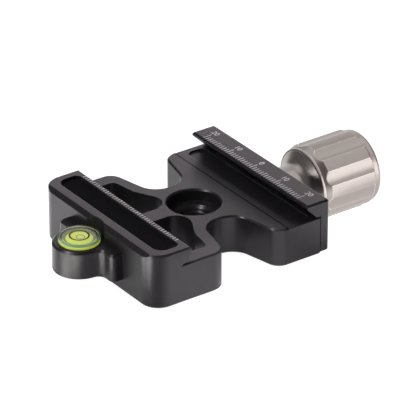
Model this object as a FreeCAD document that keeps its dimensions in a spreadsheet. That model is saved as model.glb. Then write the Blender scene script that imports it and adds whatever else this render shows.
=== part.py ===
import FreeCAD, Part
import math
import os
import re
import Sketcher
from FreeCAD import Placement, Rotation, Vector

# Dovetail quick release clamp with a screw knob and a round bubble level, in millimetres.
# The origin is on the tripod hole's axis, in the clamp's flat bottom face.
# +X runs from the fixed jaw to the knob, +Y along the jaws and +Z up.

SIZES = [
    # Clamp body: the plate, the fixed jaw and the dovetail
    ("clamp_length", 49.3),
    ("plate_height", 10.5),
    ("jaw_height", 14.7),
    ("fixed_outer", 29.6),
    ("fixed_jaw_width", 11.5),
    ("lip_thickness", 1.5),
    ("end_face", 21.05),
    ("outer_corner", 5.0),
    ("outer_chamfer", 1.05),
    ("edge_chamfer", 0.4),
    ("floor_step", 0.2),
    ("floor_step_place", 11.3),
    ("relief_start", 13.6),
    ("relief_end", 19.2),
    ("relief_end_wall", 1.75),
    ("relief_depth", 0.4),
    ("relief_corner", 2.1),
    # Waist notches in both sides
    ("waist_wall", 3.7),
    ("notch_root", 4.85),
    ("notch_mouth", 8.0),
    ("notch_root_radius", 5.2),
    ("notch_mouth_radius", 3.9),
    # Pockets through the plate, one on each side of the centre rib
    ("pocket_rib", 2.4),
    ("pocket_back", 16.8),
    ("pocket_nose", 3.4),
    ("pocket_nose_radius", 4.0),
    ("pocket_waist_place", 9.2),
    ("pocket_waist_reach", 13.5),
    ("pocket_flare", 0.173913),
    ("pocket_end_wall", 4.25),
    ("pocket_corner", 1.5),
    # Tripod hole: 3/8 inch thread with a round counterbore above it
    ("thread_wall_radius", 3.97),
    ("thread_mouth", 0.8),
    ("counterbore_radius", 6.8),
    ("counterbore_floor", 7.3),
    # Long slot in the fixed jaw's top, and the strip in it
    ("slot_side_wall", 3.3),
    ("slot_lip_wall", 1.75),
    ("slot_end_wall", 2.25),
    ("slot_depth", 2.1),
    ("slot_outer_radius", 2.8),
    ("slot_inner_radius", 1.5),
    ("strip_thickness", 1.0),
    # Ear for the bubble level
    ("ear_reach", 1.7),
    ("ear_radius", 6.85),
    ("ear_bottom", 3.5),
    ("ear_top", 10.8),
    ("ear_edge", 0.55),
    ("ear_blend", 2.2),
    ("web_depth", 3.2),
    ("web_half_width", 11.8),
    ("web_corner", 1.2),
    ("scoop_radius", 6.3),
    # Bubble level
    ("level_radius", 5.27),
    ("level_stand", 1.25),
    ("level_seat", 6.4),
    ("level_fit", 0.03),
    ("level_wall", 1.0),
    ("level_lens", 0.9),
    ("level_dome", 0.29),
    ("level_base_thickness", 1.2),
    ("bubble_radius", 1.1),
    ("bubble_height", 0.7),
    ("bubble_drift", 0.2),
    ("bubble_gap", 0.1),
    # Moving jaw
    ("closed_gap", 0.2),
    ("jaw_bottom", 0.35),
    ("jaw_clearance", 0.2),
    ("jaw_plate", 2.6),
    ("jaw_reach", 4.25),
    ("jaw_lip_thickness", 1.0),
    ("jaw_corner", 0.8),
    ("jaw_travel", 6.0),
    # Screw, guide pins and springs
    ("screw_height", 5.0),
    ("stud_radius", 3.0),
    ("stud_root", 9.2),
    ("thread_clearance", 0.05),
    ("jaw_hole_clearance", 0.25),
    ("set_screw_radius", 1.5),
    ("set_screw_place", 14.5),
    ("set_screw_sink", 0.3),
    ("hex_socket", 1.5),
    ("guide_reach", 14.0),
    ("guide_radius", 1.5),
    ("guide_clearance", 0.04),
    ("guide_root", 7.8),
    ("guide_tip_gap", 0.6),
    ("guide_seat_depth", 1.6),
    ("spring_seat_depth", 4.5),
    ("spring_seat_radius", 2.7),
    ("spring_radius", 2.15),
    ("spring_wire", 0.5),
    ("spring_turns", 3.0),
    ("spring_end_gap", 0.05),
    # Knob and its washers
    ("washer_thickness", 0.5),
    ("washer_radius", 5.6),
    ("washer_bore_clearance", 0.2),
    ("axial_play", 0.05),
    ("neck_radius", 6.0),
    ("neck_length", 5.5),
    ("bend_length", 1.7),
    ("bend_rise", 0.65),
    ("bell_radius", 8.9),
    ("bell_length", 3.8),
    ("rim_radius", 9.45),
    ("rim_width", 0.7),
    ("front_chamfer_length", 1.65),
    ("barrel_radius", 10.15),
    ("barrel_length", 13.45),
    ("rear_chamfer_length", 0.5),
    ("rear_rim_radius", 9.68),
    ("rear_rim_width", 2.05),
    ("rear_dish_radius", 7.3),
    ("rear_dish_depth", 0.6),
    ("flute_count", 9),
    ("flute_depth", 0.43),
    ("flute_cutter", 7.5),
    ("flute_phase", -7.5),
    ("knob_thread_length", 12.0),
    ("stop_bore_radius", 4.2),
    ("stop_washer_clearance", 0.3),
    ("stop_washer_thickness", 0.8),
    ("stop_play", 0.25),
    ("stop_screw_radius", 1.5),
    ("stop_screw_length", 6.0),
    ("stop_head_radius", 2.75),
    ("stop_head_height", 2.0),
    ("stop_hex", 2.0),
]

doc = FreeCAD.newDocument("clamp")
sheet = doc.addObject("Spreadsheet::Sheet", "Sizes")
for row, (name, size) in enumerate(SIZES, start=1):
    sheet.set("A%d" % row, name)
    sheet.set("B%d" % row, str(size))
    sheet.setAlias("B%d" % row, name)
doc.recompute()


def value(expression):
    """Work out an expression of the sheet's names."""
    result = sheet.evalExpression(expression)
    return getattr(result, "Value", result)


def sized(expression):
    """Put the sheet's name before each of its aliases in an expression."""
    names = {name for name, size in SIZES}

    def full_name(word):
        return "Sizes." + word.group() if word.group() in names else word.group()

    return re.sub("[a-z_]+", full_name, expression)


def bind(thing, **sizes):
    """Bind properties of a document object to expressions of the sheet's names."""
    for name, expression in sizes.items():
        thing.setExpression(name.replace("__", "."), sized(expression))


def new_body(name):
    body = doc.addObject("PartDesign::Body", name)
    body.Label = name
    return body


def plane_of(body, role):
    return [item for item in body.Origin.OriginFeatures if item.Role == role][0]


def new_sketch(body, name, role, height="0"):
    """Sketch on one of the body's own planes, moved along its normal by an expression."""
    sketch = body.newObject("Sketcher::SketchObject", name)
    sketch.AttachmentSupport = (plane_of(body, role), [""])
    sketch.MapMode = "FlatFace"
    if height != "0":
        sketch.setExpression("AttachmentOffset.Base.z", sized(height))
    return sketch


def hold_point(sketch, geometry, point, across, along):
    """Hold a point of a sketch at the two expressions given."""
    for kind, expression, axis in (("DistanceX", across, -2), ("DistanceY", along, -1)):
        if expression == "0":
            sketch.addConstraint(Sketcher.Constraint("PointOnObject", geometry, point, axis))
            continue
        size = value(sized(expression))
        index = sketch.addConstraint(Sketcher.Constraint(kind, -1, 1, geometry, point, size))
        sketch.setExpression("Constraints[%d]" % index, sized(expression))


def draw_outline(sketch, corners):
    """Draw a closed outline through corners that are pairs of expressions."""
    places = [Vector(value(sized(across)), value(sized(along)), 0) for across, along in corners]
    first = sketch.GeometryCount
    count = len(places)
    for index in range(count):
        sketch.addGeometry(Part.LineSegment(places[index], places[(index + 1) % count]))
    for index in range(count):
        follower = first + (index + 1) % count
        sketch.addConstraint(Sketcher.Constraint("Coincident", first + index, 2, follower, 1))
    for index, (across, along) in enumerate(corners):
        hold_point(sketch, first + index, 1, across, along)


def draw_circle(sketch, across, along, radius):
    centre = Vector(value(sized(across)), value(sized(along)), 0)
    size = value(sized(radius))
    circle = sketch.addGeometry(Part.Circle(centre, Vector(0, 0, 1), size))
    index = sketch.addConstraint(Sketcher.Constraint("Radius", circle, size))
    sketch.setExpression("Constraints[%d]" % index, sized(radius))
    hold_point(sketch, circle, 3, across, along)


def pad(body, name, sketch, length, midplane=False):
    feature = body.newObject("PartDesign::Pad", name)
    feature.Profile = sketch
    feature.Midplane = midplane
    bind(feature, Length=length)
    doc.recompute()
    return feature


def pocket(body, name, sketch, length, reverse=False, midplane=False):
    """Cut a sketch into the body, and make sure that it took something away."""
    before = body.Shape.Volume
    feature = body.newObject("PartDesign::Pocket", name)
    feature.Profile = sketch
    feature.Reversed = reverse
    feature.Midplane = midplane
    bind(feature, Length=length)
    doc.recompute()
    if not body.Shape.Volume < before:
        raise RuntimeError(name + " cuts nothing")
    return feature


def upright_edges(shape, spots):
    """Names of the straight edges along Z that stand at the given X, Y expressions."""
    places = [(value(sized(x)), value(sized(y))) for x, y in spots]
    found = []
    for index, edge in enumerate(shape.Edges, start=1):
        box = edge.BoundBox
        if box.XLength + box.YLength > 0.001:
            continue
        for x, y in places:
            if abs(box.Center.x - x) + abs(box.Center.y - y) < 0.01:
                found.append("Edge%d" % index)
    return found


def edges_where(shape, test):
    return ["Edge%d" % index for index, edge in enumerate(shape.Edges, start=1) if test(edge)]


def dress(body, kind, name, edges, size):
    """Round or chamfer edges of the body's latest feature."""
    base = body.Tip
    feature = body.newObject("PartDesign::" + kind, name)
    feature.Base = (base, edges)
    if kind == "Fillet":
        bind(feature, Radius=size)
    else:
        bind(feature, Size=size)
    doc.recompute()
    return feature


def mirrored(corners):
    """The same outline on the other side of the X axis."""
    return [(across, "-1 * (%s)" % along) for across, along in reversed(corners)]


def both_sides(spots):
    return spots + [(across, "-1 * (%s)" % along) for across, along in spots]


HALF = "clamp_length / 2"

# Distances from the tripod hole's axis to the fixed jaw's parts and its ear
FIXED_LIP = "( fixed_outer - fixed_jaw_width )"
SLOT_OUTER = "( fixed_outer - slot_side_wall )"
SLOT_INNER = "( fixed_outer - fixed_jaw_width + slot_lip_wall )"
WEB_FACE = "( fixed_outer + web_depth )"
EAR_CENTRE = "( fixed_outer + web_depth + ear_reach )"

# Straight lengths in one turn of a spring, and sides of its wire
LENGTHS_PER_TURN = 10
WIRE_SIDES = 6


def make_clamp_body():
    body = new_body("clamp_body")
    plan = new_sketch(body, "plan", "XY_Plane")
    floor = "counterbore_radius + waist_wall"
    notch = [("notch_mouth", HALF), ("notch_root", floor),
             ("-1 * notch_root", floor), ("-1 * notch_mouth", HALF)]
    far_side = [("end_face", HALF)] + notch + [("-1 * fixed_outer", HALF)]
    draw_outline(plan, far_side + mirrored(far_side))
    pad(body, "blank", plan, "jaw_height")

    roots = both_sides([("notch_root", floor), ("-1 * notch_root", floor)])
    mouths = both_sides([("notch_mouth", HALF), ("-1 * notch_mouth", HALF)])
    corners = both_sides([("-1 * fixed_outer", HALF)])
    dress(body, "Fillet", "notch_roots", upright_edges(body.Shape, roots), "notch_root_radius")
    dress(body, "Fillet", "notch_mouths", upright_edges(body.Shape, mouths), "notch_mouth_radius")
    dress(body, "Fillet", "outer_corners", upright_edges(body.Shape, corners), "outer_corner")

    # The dovetail channel, cut along the jaws, with its 45 degree undercut
    channel = new_sketch(body, "channel", "XZ_Plane")
    above = "jaw_height + 1"
    beyond = "end_face + 1"
    underside = "jaw_height - lip_thickness"
    draw_outline(channel, [
        ("-1 * " + FIXED_LIP, above),
        ("-1 * " + FIXED_LIP, underside),
        ("-1 * ( %s + %s - plate_height )" % (FIXED_LIP, underside), "plate_height"),
        (beyond, "plate_height"),
        (beyond, above),
    ])
    pocket(body, "channel_cut", channel, "clamp_length + 2", midplane=True)
    plate = value(sized("plate_height"))
    rim = edges_where(body.Shape, lambda edge: edge.BoundBox.XLength > 0.01
                      and edge.BoundBox.ZLength < 0.001 and abs(edge.BoundBox.ZMin - plate) < 0.001)
    dress(body, "Chamfer", "plate_rim", rim, "edge_chamfer")
    step = new_sketch(body, "step", "XZ_Plane")
    draw_outline(step, [
        ("floor_step_place", "plate_height - floor_step"),
        (beyond, "plate_height - floor_step"),
        (beyond, "plate_height + 1"),
        ("floor_step_place", "plate_height + 1"),
    ])
    pocket(body, "step_cut", step, "clamp_length + 2", midplane=True)

    # Long chamfer on the fixed jaw's outer top edge
    slope = new_sketch(body, "slope", "XZ_Plane")
    outside = "-1 * ( fixed_outer + 1 )"
    draw_outline(slope, [
        (outside, "jaw_height - outer_chamfer - 1"),
        ("-1 * ( fixed_outer - outer_chamfer - 1 )", "jaw_height + 1"),
        (outside, "jaw_height + 1"),
    ])
    pocket(body, "slope_cut", slope, "clamp_length + 2", midplane=True)
    return body


def cut_plate(body):
    """Pockets, tripod hole and relief in the plate."""
    openings = new_sketch(body, "openings", "XY_Plane")
    back = "-1 * pocket_back"
    end = HALF + " - pocket_end_wall"
    end_place = "-1 * ( pocket_waist_place + pocket_flare * ( %s - pocket_waist_reach ) )" % end
    outline = [
        (back, "pocket_rib"),
        ("-1 * pocket_nose", "pocket_rib"),
        ("-1 * pocket_waist_place", "pocket_waist_reach"),
        (end_place, end),
        (back, end),
    ]
    draw_outline(openings, outline)
    draw_outline(openings, mirrored(outline))
    pocket(body, "plate_pockets", openings, "plate_height + 1", reverse=True)
    noses = both_sides([("-1 * pocket_nose", "pocket_rib")])
    small = both_sides([(back, "pocket_rib"), (back, end), (end_place, end)])
    waists = both_sides([("-1 * pocket_waist_place", "pocket_waist_reach")])
    dress(body, "Fillet", "pocket_noses", upright_edges(body.Shape, noses), "pocket_nose_radius")
    dress(body, "Fillet", "pocket_waists", upright_edges(body.Shape, waists), "pocket_nose_radius")
    dress(body, "Fillet", "pocket_corners", upright_edges(body.Shape, small), "pocket_corner")

    relief = new_sketch(body, "relief", "XY_Plane", "plate_height - floor_step")
    reach = HALF + " - relief_end_wall"
    draw_outline(relief, [("relief_start", reach), ("relief_end", reach),
                          ("relief_end", "-1 * (%s)" % reach), ("relief_start", "-1 * (%s)" % reach)])
    pocket(body, "relief_cut", relief, "relief_depth")
    spots = both_sides([("relief_start", reach), ("relief_end", reach)])
    dress(body, "Fillet", "relief_corners", upright_edges(body.Shape, spots), "relief_corner")

    wide = new_sketch(body, "wide", "XY_Plane", "plate_height")
    draw_circle(wide, "0", "0", "counterbore_radius")
    pocket(body, "counterbore", wide, "plate_height - counterbore_floor")
    narrow = new_sketch(body, "narrow", "XY_Plane")
    draw_circle(narrow, "0", "0", "thread_wall_radius")
    pocket(body, "tripod_thread", narrow, "counterbore_floor + 1", reverse=True)


def cut_top_slot(body):
    slot = new_sketch(body, "slot", "XY_Plane", "jaw_height")
    outer = "-1 * " + SLOT_OUTER
    inner = "-1 * " + SLOT_INNER
    reach = HALF + " - slot_end_wall"
    draw_outline(slot, [(outer, reach), (inner, reach),
                        (inner, "-1 * (%s)" % reach), (outer, "-1 * (%s)" % reach)])
    pocket(body, "slot_cut", slot, "slot_depth")
    outers = upright_edges(body.Shape, both_sides([(outer, reach)]))
    dress(body, "Fillet", "slot_outer_corners", outers, "slot_outer_radius")
    inners = upright_edges(body.Shape, both_sides([(inner, reach)]))
    dress(body, "Fillet", "slot_inner_corners", inners, "slot_inner_radius")


def add_ear(body):
    """Ear that holds the level, and the scoop in the jaw that clears it."""
    web = new_sketch(body, "web", "XY_Plane", "ear_bottom")
    face = "-1 * " + WEB_FACE
    root = "-1 * ( fixed_outer - outer_chamfer )"
    draw_outline(web, [(root, "web_half_width"), (face, "web_half_width"),
                       (face, "-1 * web_half_width"), (root, "-1 * web_half_width")])
    pad(body, "web_pad", web, "ear_top - ear_bottom")
    disc = new_sketch(body, "disc", "XY_Plane", "ear_bottom")
    draw_circle(disc, "-1 * " + EAR_CENTRE, "0", "ear_radius")
    pad(body, "ear_pad", disc, "ear_top - ear_bottom")
    corners = upright_edges(body.Shape, both_sides([(face, "web_half_width")]))
    dress(body, "Fillet", "web_corners", corners, "web_corner")
    crossing = "sqrt(ear_radius ^ 2 - ear_reach ^ 2)"
    blends = upright_edges(body.Shape, both_sides([(face, crossing)]))
    dress(body, "Fillet", "ear_blends", blends, "ear_blend")

    top = value(sized("ear_top"))
    outside = -value(sized("fixed_outer"))
    rims = edges_where(body.Shape, lambda edge: abs(edge.BoundBox.ZMin - top) < 0.001
                       and edge.BoundBox.ZLength < 0.001 and edge.BoundBox.Center.x < outside - 0.1)
    dress(body, "Chamfer", "ear_rim", rims, "ear_edge")

    scoop = new_sketch(body, "scoop", "XY_Plane", "jaw_height + 1")
    draw_circle(scoop, "-1 * " + EAR_CENTRE, "0", "scoop_radius")
    pocket(body, "scoop_cut", scoop, "jaw_height + 1 - ear_top")
    seat = new_sketch(body, "seat", "XY_Plane", "ear_top")
    draw_circle(seat, "-1 * " + EAR_CENTRE, "0", "level_radius + level_fit")
    pocket(body, "level_bore", seat, "ear_top - level_seat")


def bore_end_face(body):
    """Holes for the stud, the guide pins and the springs."""
    axis = "screw_height"
    stud = new_sketch(body, "stud_circle", "YZ_Plane", "end_face")
    draw_circle(stud, "0", axis, "stud_radius")
    pocket(body, "stud_hole", stud, "end_face - stud_root")
    pins = new_sketch(body, "pin_circles", "YZ_Plane", "end_face")
    draw_circle(pins, "guide_reach", axis, "guide_radius + guide_clearance")
    draw_circle(pins, "-1 * guide_reach", axis, "guide_radius + guide_clearance")
    pocket(body, "pin_holes", pins, "end_face - guide_root")
    springs = new_sketch(body, "spring_circles", "YZ_Plane", "end_face")
    draw_circle(springs, "guide_reach", axis, "spring_seat_radius")
    draw_circle(springs, "-1 * guide_reach", axis, "spring_seat_radius")
    pocket(body, "spring_seats", springs, "spring_seat_depth")
    grub = new_sketch(body, "grub_circle", "XY_Plane")
    draw_circle(grub, "set_screw_place", "0", "set_screw_radius")
    pocket(body, "grub_hole", grub, "screw_height", reverse=True)


def soften_body(body):
    """Small chamfers on the edges that a hand would touch."""
    half = value(sized(HALF))
    top = value(sized("jaw_height"))
    lip = -value(sized(FIXED_LIP))
    counterbore = value(sized("counterbore_radius"))
    thread = value(sized("thread_wall_radius"))

    def flat_at(edge, height):
        return abs(edge.BoundBox.ZMin - height) < 0.001 and edge.BoundBox.ZLength < 0.001

    def reaches(edge):
        return max(abs(edge.BoundBox.YMin), abs(edge.BoundBox.YMax))

    def on_jaw_ends(edge):
        return flat_at(edge, top) and reaches(edge) > half - 0.001 and edge.BoundBox.YLength < 5.0

    def on_lip(edge):
        return flat_at(edge, top) and abs(edge.BoundBox.XMin - lip) + edge.BoundBox.XLength < 0.001

    def round_hole(edge, height, radius):
        return flat_at(edge, height) and abs(edge.BoundBox.XLength - 2 * radius) < 0.01

    dress(body, "Chamfer", "jaw_ends", edges_where(body.Shape, on_jaw_ends), "edge_chamfer")
    dress(body, "Chamfer", "lip_edge", edges_where(body.Shape, on_lip), "edge_chamfer")
    plate = value(sized("plate_height"))
    floor = value(sized("counterbore_floor"))
    mouth = edges_where(body.Shape, lambda edge: round_hole(edge, plate, counterbore))
    dress(body, "Chamfer", "counterbore_edge", mouth, "edge_chamfer")
    inner = edges_where(body.Shape, lambda edge: round_hole(edge, floor, thread))
    dress(body, "Chamfer", "thread_edge", inner, "thread_mouth")
    jaw_back = -value(sized("pocket_back"))
    under = edges_where(body.Shape, lambda edge: flat_at(edge, 0.0) and (
        edge.BoundBox.Center.x < jaw_back - 0.1 or reaches(edge) > half - 0.001))
    dress(body, "Chamfer", "under_edge", under, "edge_chamfer")


# Places along the screw's axis that several pieces share
JAW_INNER = "end_face + closed_gap"
JAW_OUTER = JAW_INNER + " + jaw_plate"
KNOB_FRONT = JAW_OUTER + " + washer_thickness + axial_play"
STUD_END = KNOB_FRONT + " + knob_thread_length + jaw_travel + stop_play"


def make_moving_jaw():
    body = new_body("moving_jaw")
    lip = JAW_INNER + " - jaw_reach"
    plan = new_sketch(body, "jaw_plan", "XY_Plane", "jaw_bottom")
    draw_outline(plan, [(lip, HALF), (lip, "-1 * (%s)" % HALF),
                        (JAW_OUTER, "-1 * (%s)" % HALF), (JAW_OUTER, HALF)])
    pad(body, "jaw_blank", plan, "jaw_height - jaw_bottom")
    corners = upright_edges(body.Shape, both_sides([(JAW_OUTER, HALF)]))
    dress(body, "Fillet", "jaw_corners", corners, "jaw_corner")

    # The space under the lip, with the 45 degree face that grips a camera plate
    ledge = "plate_height + jaw_clearance"
    underside = "jaw_height - jaw_lip_thickness"
    space = new_sketch(body, "jaw_space", "XZ_Plane")
    draw_outline(space, [
        (lip + " - 1", "-1"),
        (lip + " - 1", underside),
        (lip, underside),
        (lip + " + %s - (%s)" % (underside, ledge), ledge),
        (JAW_INNER, ledge),
        (JAW_INNER, "-1"),
    ])
    pocket(body, "jaw_space_cut", space, "clamp_length + 2", midplane=True)

    hole = new_sketch(body, "jaw_hole", "YZ_Plane", JAW_OUTER)
    draw_circle(hole, "0", "screw_height", "stud_radius + jaw_hole_clearance")
    pocket(body, "jaw_stud_hole", hole, "jaw_plate + 1")
    seats = new_sketch(body, "pin_seats", "YZ_Plane", JAW_INNER)
    draw_circle(seats, "guide_reach", "screw_height", "guide_radius")
    draw_circle(seats, "-1 * guide_reach", "screw_height", "guide_radius")
    pocket(body, "pin_seat_holes", seats, "guide_seat_depth", reverse=True)

    top = value(sized("jaw_height"))
    bottom = value(sized("jaw_bottom"))
    inner = value(sized(JAW_INNER))
    rim = edges_where(body.Shape, lambda edge: abs(edge.BoundBox.ZMin - top) < 0.001
                      and edge.BoundBox.ZLength < 0.001)
    dress(body, "Chamfer", "jaw_rim", rim, "edge_chamfer")
    under = edges_where(body.Shape, lambda edge: abs(edge.BoundBox.ZMax - bottom) < 0.001
                        and edge.BoundBox.XMax > inner + 0.001)
    dress(body, "Chamfer", "jaw_underside", under, "edge_chamfer")
    return body


def turned(name, outline, axis="X_Axis"):
    """Turn an outline round one of the body's axes: the first size runs along X, the second Z."""
    body = new_body(name)
    sketch = new_sketch(body, name + "_outline", "XZ_Plane")
    draw_outline(sketch, outline)
    feature = body.newObject("PartDesign::Revolution", name + "_turned")
    feature.Profile = sketch
    feature.ReferenceAxis = (plane_of(body, axis), [""])
    feature.Angle = 360
    doc.recompute()
    return body


def place(body, **places):
    """Bind the body's place to expressions: x, y and z."""
    for letter, expression in places.items():
        body.setExpression("Placement.Base." + letter, sized(expression))
    doc.recompute()


def cut_hex_socket(body, name, role, height, size, depth, reverse=False):
    """Cut a hexagon socket, given its width across the flats."""
    socket = new_sketch(body, name + "_hexagon", role, height)
    corners = []
    for turn in range(6):
        corners.append(("(%s) / sqrt(3) * cos(%d)" % (size, 60 * turn + 30),
                        "(%s) / sqrt(3) * sin(%d)" % (size, 60 * turn + 30)))
    draw_outline(socket, corners)
    pocket(body, name + "_socket", socket, depth, reverse)


def make_stud():
    stud = turned("clamp_stud", [
        ("stud_root", "0"),
        ("stud_root", "stud_radius"),
        (STUD_END, "stud_radius"),
        (STUD_END, "stop_screw_radius"),
        (STUD_END + " - stop_screw_length", "stop_screw_radius"),
        (STUD_END + " - stop_screw_length", "0"),
    ])
    place(stud, z="screw_height")
    return stud


def make_stop():
    """Washer and screw at the stud's end, which keep the knob on it."""
    face = STUD_END + " + stop_washer_thickness"
    washer = turned("stop_washer", [
        (STUD_END, "stop_screw_radius"),
        (STUD_END, "stop_bore_radius - stop_washer_clearance"),
        (face, "stop_bore_radius - stop_washer_clearance"),
        (face, "stop_screw_radius"),
    ])
    place(washer, z="screw_height")
    end = face + " + stop_head_height"
    tip = face + " - stop_screw_length"
    screw = turned("stop_screw", [
        (tip, "0"),
        (tip, "stop_screw_radius"),
        (face, "stop_screw_radius"),
        (face, "stop_head_radius"),
        (end, "stop_head_radius"),
        (end, "0"),
    ])
    cut_hex_socket(screw, "stop", "YZ_Plane", end, "stop_hex", "stop_head_height * 0.6")
    place(screw, z="screw_height")
    return [washer, screw]


def make_set_screw():
    top = "screw_height - stud_radius"
    screw = turned("stud_set_screw", [
        ("0", "set_screw_sink"),
        ("set_screw_radius", "set_screw_sink"),
        ("set_screw_radius", top),
        ("0", top),
    ], "Z_Axis")
    cut_hex_socket(screw, "grub", "XY_Plane", "set_screw_sink", "hex_socket",
                   "(%s - set_screw_sink) / 2" % top, reverse=True)
    place(screw, x="set_screw_place")
    return screw


def make_guide_pin(name, side):
    tip = "guide_root + guide_tip_gap"
    seat = JAW_INNER + " + guide_seat_depth"
    pin = turned(name, [
        (tip, "0"),
        (tip, "guide_radius"),
        (seat, "guide_radius"),
        (seat, "0"),
    ])
    place(pin, y="%d * guide_reach" % side, z="screw_height")
    return pin


def make_spring(name, side):
    """Coil spring round a guide pin, bent from short straight lengths of wire."""
    seat = value(sized("end_face - spring_seat_depth + spring_end_gap + spring_wire / 2"))
    height = value(sized("spring_seat_depth + closed_gap - 2 * spring_end_gap - spring_wire"))
    radius = value(sized("spring_radius"))
    wire = value(sized("spring_wire / 2"))
    steps = round(value(sized("spring_turns")) * LENGTHS_PER_TURN)
    points = []
    for step in range(steps + 1):
        turn = 2 * math.pi * step / LENGTHS_PER_TURN
        points.append(Vector(seat + height * step / steps, radius * math.cos(turn), radius * math.sin(turn)))
    ahead = (points[1] - points[0]).normalize()
    outward = Vector(0, 1, 0)
    across = ahead.cross(outward)
    ring = []
    for corner in range(WIRE_SIDES + 1):
        turn = 2 * math.pi * corner / WIRE_SIDES
        ring.append(points[0] + outward * (wire * math.cos(turn)) + across * (wire * math.sin(turn)))
    coil = Part.makePolygon(points).makePipeShell([Part.makePolygon(ring)], True, False, 1)
    spring = doc.addObject("Part::Feature", name)
    spring.Shape = coil
    spring.Placement.Base = Vector(0, side * value(sized("guide_reach")), value(sized("screw_height")))
    return spring


def make_thrust_washer():
    washer = turned("thrust_washer", [
        (JAW_OUTER, "stud_radius + washer_bore_clearance"),
        (JAW_OUTER, "washer_radius"),
        (JAW_OUTER + " + washer_thickness", "washer_radius"),
        (JAW_OUTER + " + washer_thickness", "stud_radius + washer_bore_clearance"),
    ])
    place(washer, z="screw_height")
    return washer


def make_knob():
    """Fluted knob, turned from one bar, with its neck towards the jaw."""
    bell = "neck_length + bell_length"
    rim = bell + " + rim_width"
    barrel = rim + " + front_chamfer_length"
    barrel_end = barrel + " + barrel_length"
    rear_rim = barrel_end + " + rear_chamfer_length"
    rear = rear_rim + " + rear_rim_width"
    bore = "stud_radius + thread_clearance"
    knob = turned("knob", [
        ("0", bore),
        ("0", "neck_radius"),
        ("neck_length", "neck_radius"),
        ("neck_length + bend_length", "neck_radius + bend_rise"),
        (bell, "bell_radius"),
        (bell, "rim_radius"),
        (rim, "rim_radius"),
        (barrel, "barrel_radius"),
        (barrel_end, "barrel_radius"),
        (rear_rim, "rear_rim_radius"),
        (rear, "rear_rim_radius"),
        (rear, "rear_dish_radius"),
        (rear + " - rear_dish_depth", "rear_dish_radius"),
        (rear + " - rear_dish_depth", "stop_bore_radius"),
        ("knob_thread_length", "stop_bore_radius"),
        ("knob_thread_length", bore),
    ])
    cutter = new_sketch(knob, "flute_circle", "YZ_Plane", rear_rim + " + 0.1")
    draw_circle(cutter, "barrel_radius - flute_depth + flute_cutter", "0", "flute_cutter")
    flute = pocket(knob, "flute", cutter, "barrel_length + front_chamfer_length + rear_chamfer_length + 0.5")
    pattern = knob.newObject("PartDesign::PolarPattern", "flutes")
    pattern.Originals = [flute]
    pattern.Axis = (plane_of(knob, "X_Axis"), [""])
    pattern.Angle = 360
    bind(pattern, Occurrences="flute_count")
    knob.Tip = pattern
    doc.recompute()
    knob.Placement = Placement(Vector(0, 0, 0), Rotation(Vector(1, 0, 0), value(sized("flute_phase"))))
    bind(knob, Placement__Rotation__Angle="flute_phase")
    place(knob, x=KNOB_FRONT, z="screw_height")
    return knob


def make_level():
    """Round bubble level: clear case, plug, liquid and bubble."""
    inside = "level_radius - level_wall"
    top = "ear_top + level_stand"
    ceiling = top + " - level_lens"
    apex = ceiling + " + level_dome"
    floor = "level_seat + level_base_thickness"
    case = turned("level_case", [
        (inside, ceiling),
        ("0", apex),
        ("0", top),
        ("level_radius", top),
        ("level_radius", "level_seat"),
        (inside, "level_seat"),
    ], "Z_Axis")
    base = turned("level_base", [
        ("0", "level_seat"),
        (inside, "level_seat"),
        (inside, floor),
        ("0", floor),
    ], "Z_Axis")
    filling = turned("level_filling", [
        (inside, ceiling),
        ("0", apex),
        ("0", floor),
        (inside, floor),
    ], "Z_Axis")
    for body in (case, base, filling):
        place(body, x="-1 * " + EAR_CENTRE)
    crown = "%s - bubble_gap" % apex
    bubble = turned("level_bubble", [
        ("0", crown),
        ("bubble_radius", crown),
        ("bubble_radius", crown + " - bubble_height"),
        ("0", crown + " - bubble_height"),
    ], "Z_Axis")
    place(bubble, x="bubble_drift - " + EAR_CENTRE, y="-1 * bubble_drift")
    doc.recompute()
    liquid = doc.addObject("Part::Cut", "level_liquid")
    liquid.Base = filling
    liquid.Tool = bubble
    doc.recompute()
    return [case, base, liquid, bubble]


def make_slot_strip():
    body = new_body("slot_strip")
    outer = "-1 * " + SLOT_OUTER
    inner = "-1 * " + SLOT_INNER
    reach = HALF + " - slot_end_wall"
    plan = new_sketch(body, "strip_plan", "XY_Plane", "jaw_height - slot_depth")
    draw_outline(plan, [(outer, reach), (inner, reach),
                        (inner, "-1 * (%s)" % reach), (outer, "-1 * (%s)" % reach)])
    pad(body, "strip", plan, "strip_thickness")
    outers = upright_edges(body.Shape, both_sides([(outer, reach)]))
    dress(body, "Fillet", "strip_outer_corners", outers, "slot_outer_radius")
    inners = upright_edges(body.Shape, both_sides([(inner, reach)]))
    dress(body, "Fillet", "strip_inner_corners", inners, "slot_inner_radius")
    return body


def finish(subparts):
    """Check every object and write each sub-part's own file."""
    doc.recompute()
    for item in doc.Objects:
        for state in ("Invalid", "Error"):
            if state in item.State:
                raise RuntimeError("%s is %s" % (item.Name, state))
    os.makedirs("parts", exist_ok=True)
    for item in subparts:
        shape = item.Shape
        if shape.isNull() or not shape.isValid():
            raise RuntimeError("%s has no valid shape" % item.Label)
        shape.exportStep("parts/%s.step" % item.Label)
        print("%-20s solids %d volume %.2f" % (item.Label, len(shape.Solids), shape.Volume))


clamp_body = make_clamp_body()
cut_plate(clamp_body)
cut_top_slot(clamp_body)
add_ear(clamp_body)
bore_end_face(clamp_body)
soften_body(clamp_body)
finish([
    clamp_body,
    make_slot_strip(),
    make_moving_jaw(),
    make_stud(),
    make_set_screw(),
    make_guide_pin("guide_pin_left", 1),
    make_guide_pin("guide_pin_right", -1),
    make_spring("return_spring_left", 1),
    make_spring("return_spring_right", -1),
    make_thrust_washer(),
    make_knob(),
] + make_stop() + make_level())
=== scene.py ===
"""Looks of the dovetail quick release clamp: finishes, scales, threads, level, light and camera."""
import math

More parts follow.
